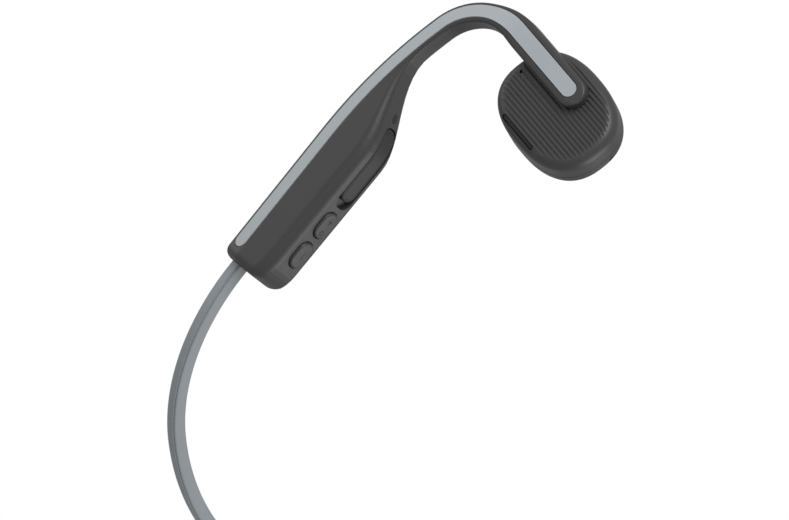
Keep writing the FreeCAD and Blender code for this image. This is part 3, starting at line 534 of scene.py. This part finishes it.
PUSH_PROUD = 0.6
PUSH_FOOT = -1.6


def driver_outline(inset, count=96):
    """The transducer's outline moved inward."""
    halves = [half - inset for half in DRIVER_HALF]
    points = []
    for k in range(count):
        angle = radians(360 * (k + 0.5) / count)
        points.append(tuple(
            copysign(half * abs(part) ** (2 / DRIVER_POWER), part)
            for half, part in zip(halves, (cos(angle), sin(angle)))
        ))
    return points


def edge_depth(x, y):
    """How far the shell's rounded edge has dropped at a point of its face."""
    low, high = 0.0, DRIVER_ROUND
    for _ in range(24):
        middle = (low + high) / 2
        across = abs(x) / (DRIVER_HALF[0] - middle)
        along = abs(y) / (DRIVER_HALF[1] - middle)
        if across ** DRIVER_POWER + along ** DRIVER_POWER < 1:
            low = middle
        else:
            high = middle
    return DRIVER_ROUND - sqrt(max(DRIVER_ROUND ** 2 - (DRIVER_ROUND - low) ** 2, 0))


def tall_outline(half_x, half_y, corner, inset, step=10):
    """A rounded outline whose long axis is y."""
    return [(-y, x) for x, y in rounded_outline(half_y, half_x, corner, inset, step)]


def vent_part(place, profile, joined=False):
    """Rings round the vent slot, at depths below the shell's face."""
    outline = beside(VENT_SEAT, lambda inset: tall_outline(*VENT_HALF, VENT_HALF[0] - 0.02, inset))
    rings = [
        placed(place, outline(inset), lambda x, y: -edge_depth(x, y) - depth)
        for inset, depth in profile
    ]
    return skin(rings, joined)


def driver_part(place, profile, joined=False):
    """Rings round the transducer, at depths below its face."""
    rings = [placed(place, driver_outline(inset), lambda x, y: -depth) for inset, depth in profile]
    return skin(rings, joined)


PAD_RINGS = [(PAD_INSET + inset, depth) for inset, depth in PAD_PROFILE]
seam_top, seam_foot = DRIVER_SEAM - SEAM_HALF, DRIVER_SEAM + SEAM_HALF
SEAM_RINGS = (
    (SEAM_SUNK, seam_top), (-SEAM_PROUD, seam_top),
    (-SEAM_PROUD, seam_foot), (SEAM_SUNK, seam_foot),
)
for side, place in (("right", DRIVER), ("left", MIRROR @ DRIVER)):
    pad = add_piece(side + "_pad", [driver_part(place, PAD_RINGS)], PAD, "pad", side + "_driver")
    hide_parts(side + "_contact_pad")
    body = side + "_side"
    vent_floor = vent_part(place, VENT_FLOOR_PROFILE)
    vent_rim = vent_part(place, VENT_RIM_PROFILE, joined=True)
    seam = driver_part(place, SEAM_RINGS, joined=True)
    add_piece(side + "_vent_floor", [vent_floor], MESH, "mesh", body)
    add_piece(side + "_vent_rim", [vent_rim], SHELL, "transducer", body)
    add_piece(side + "_shell_seam", [seam], SEAM, "transducer", body)

push_outline = beside(
    PUSH_SEAT, lambda inset: tall_outline(*PUSH_HALF, PUSH_HALF[0] - 0.1, inset))
push_edge = CAP_ROUND + ((1.2, -0.03),)
push = cap(push_outline, push_edge, lambda x, y: PUSH_PROUD, PUSH_FOOT, MIRROR @ DRIVER)
made = add_piece("multifunction_cap", [push], CASING, "button", "multifunction")
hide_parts("multifunction_button")

# ---------------------------------------------------------------- stage and light
FLOOR_HALF = 3.0               # metres
FLOOR_TONE = 0.82
FLOOR_GLOW = 0.4
WORLD_LIGHT = 0.45             # what the world sends to surfaces; the camera sees full white
LIGHT_DISTANCE = 0.6           # metres
LIGHTS = (                     # name, direction (right, up, toward the camera), metres, watts
    ("key", (-0.8, 0.8, -0.05), (0.5, 0.5), 0.8),
    ("fill", (0.4, 0.55, 0.7), (0.4, 0.4), 2.2),
    ("low", (0.75, -0.75, 0.0), (0.25, 0.5), 1.0),
)


def set_stage():
    """A pale floor that is clear from below, and a white world."""
    mesh = bpy.data.meshes.new("floor")
    corners = [(-1, -1), (1, -1), (1, 1), (-1, 1)]
    mesh.from_pydata([(a * FLOOR_HALF, b * FLOOR_HALF, 0) for a, b in corners], [], [(0, 1, 2, 3)])
    floor = bpy.data.objects.new("floor", mesh)
    bpy.context.scene.collection.objects.link(floor)
    for ray in ("diffuse", "glossy", "transmission", "shadow"):
        setattr(floor, "visible_" + ray, False)
    made = bpy.data.materials.new("pale_floor")
    made.use_nodes = True
    nodes, links = made.node_tree.nodes, made.node_tree.links
    shader = nodes["Principled BSDF"]
    shader.inputs["Base Color"].default_value = (FLOOR_TONE, FLOOR_TONE, FLOOR_TONE, 1)
    shader.inputs["Roughness"].default_value = 0.9
    shader.inputs["Emission Color"].default_value = (1, 1, 1, 1)
    shader.inputs["Emission Strength"].default_value = FLOOR_GLOW
    side = nodes.new("ShaderNodeNewGeometry")
    clear = nodes.new("ShaderNodeBsdfTransparent")
    mix = nodes.new("ShaderNodeMixShader")
    links.new(side.outputs["Backfacing"], mix.inputs["Fac"])
    links.new(shader.outputs["BSDF"], mix.inputs[1])
    links.new(clear.outputs["BSDF"], mix.inputs[2])
    links.new(mix.outputs["Shader"], nodes["Material Output"].inputs["Surface"])
    mesh.materials.append(made)
    world = bpy.data.worlds.new("studio")
    bpy.context.scene.world = world
    world.use_nodes = True
    nodes, links = world.node_tree.nodes, world.node_tree.links
    seen = nodes.new("ShaderNodeLightPath")
    back = nodes["Background"]
    back.inputs["Color"].default_value = (1, 1, 1, 1)
    strength = nodes.new("ShaderNodeMapRange")
    strength.inputs["To Min"].default_value = WORLD_LIGHT
    strength.inputs["To Max"].default_value = 1.0
    links.new(seen.outputs["Is Camera Ray"], strength.inputs["Value"])
    links.new(strength.outputs["Result"], back.inputs["Strength"])


def softbox(name, direction, size, power):
    """A large soft light, shining at the object from a direction in the camera's own axes."""
    data = bpy.data.lights.new(name, "AREA")
    data.shape = "RECTANGLE"
    data.size, data.size_y = size
    data.energy = power
    light = bpy.data.objects.new(name, data)
    bpy.context.scene.collection.objects.link(light)
    way = view_right * direction[0] + view_up * direction[1] + view_toward * direction[2]
    way.normalize()
    light.location = view_aim + way * LIGHT_DISTANCE
    light.rotation_mode = "QUATERNION"
    light.rotation_quaternion = (-way).to_track_quat("-Z", "Y")
    light.visible_camera = False


set_stage()
for lamp in LIGHTS:
    softbox(*lamp)
bpy.context.scene.view_settings.view_transform = "Standard"
